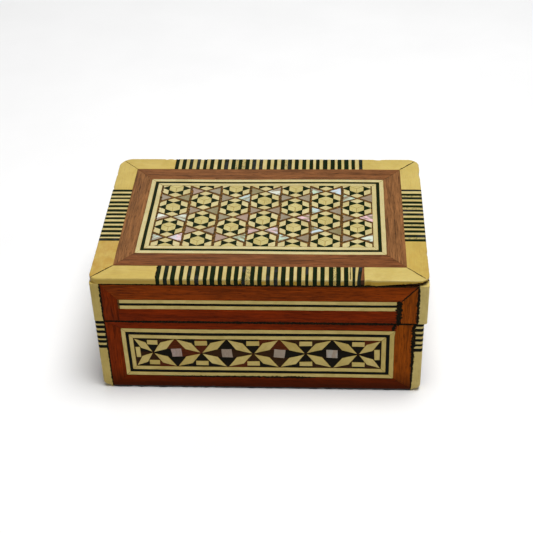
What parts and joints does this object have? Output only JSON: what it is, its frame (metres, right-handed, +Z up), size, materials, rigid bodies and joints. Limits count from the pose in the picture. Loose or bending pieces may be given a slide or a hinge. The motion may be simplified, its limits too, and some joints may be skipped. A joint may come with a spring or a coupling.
{
  "type": "inlaid wooden box",
  "caption": "Small hinged wooden box veneered in mahogany, with bone, black wood and mother-of-pearl star inlay on the lid and sides and a velvet lining.",
  "frame": {"origin": "centre of the underside", "axes": "+X to the right along the longest side, +Y to the hinged back, +Z up"},
  "size_m": [0.12, 0.08, 0.052],
  "materials": {
    "carcass_wood": "plain softwood boards",
    "mahogany": "polished reddish brown veneer",
    "bone": "polished yellowed bone",
    "black_wood": "polished black-green dyed wood",
    "star_ground": "black and red-brown wood chips",
    "mosaic_glue": "brown glue and thin wood slips",
    "pearl": "iridescent polished shell",
    "brass": "worn brass",
    "velvet": "short pile velvet",
    "felt": "thin black felt"
  },
  "bodies": {
    "base": {"base_front_board": "carcass_wood", "base_back_board": "carcass_wood", "base_left_board": "carcass_wood", "base_right_board": "carcass_wood", "base_bottom_board": "carcass_wood", "underside_felt": "felt", "floor_velvet_pad": "velvet", "base_wall_lining": "velvet", "base_corner_posts": "bone", "base_post_bone_stripes": "bone", "base_post_black_stripes": "black_wood", "base_front_veneer": "mahogany", "base_back_veneer": "mahogany", "base_left_veneer": "mahogany", "base_right_veneer": "mahogany", "base_bone_strings": "bone", "base_black_strings": "black_wood", "base_front_star_ground": "star_ground", "base_back_star_ground": "star_ground", "base_left_star_ground": "star_ground", "base_right_star_ground": "star_ground", "base_front_star_bone": "bone", "base_back_star_bone": "bone", "base_left_star_bone": "bone", "base_right_star_bone": "bone", "base_front_star_pearl": "pearl", "base_back_star_pearl": "pearl", "base_left_star_pearl": "pearl", "base_right_star_pearl": "pearl", "base_hinge_leaves": "brass", "base_hinge_nails": "brass", "hinge_pins": "brass"},
    "lid": {"lid_hinge_leaves": "brass", "lid_hinge_nails": "brass", "lid_top_board": "carcass_wood", "lid_front_board": "carcass_wood", "lid_back_board": "carcass_wood", "lid_left_board": "carcass_wood", "lid_right_board": "carcass_wood", "lid_velvet_pad": "velvet", "lid_wall_lining": "velvet", "lid_corner_posts": "bone", "border_bone_corners": "bone", "border_bone_stripes": "bone", "border_black_stripes": "black_wood", "lid_top_veneer": "mahogany", "lid_bone_strings": "bone", "lid_black_string": "black_wood", "mosaic_ground": "mosaic_glue", "mosaic_hexagons": "bone", "mosaic_triangles": "black_wood", "mosaic_lozenges": "bone", "mosaic_pearl": "pearl", "lid_front_veneer": "mahogany", "lid_back_veneer": "mahogany", "lid_left_veneer": "mahogany", "lid_right_veneer": "mahogany", "lid_side_bone_strings": "bone", "lid_side_black_string": "black_wood"}
  },
  "joints": [
    {"name": "lid_hinge", "type": "hinge", "parent": "base", "child": "lid", "pos_m": [0, 0.0388, 0.0324], "axis": [-1, 0, 0], "range_deg": [0, 100]}
  ]
}
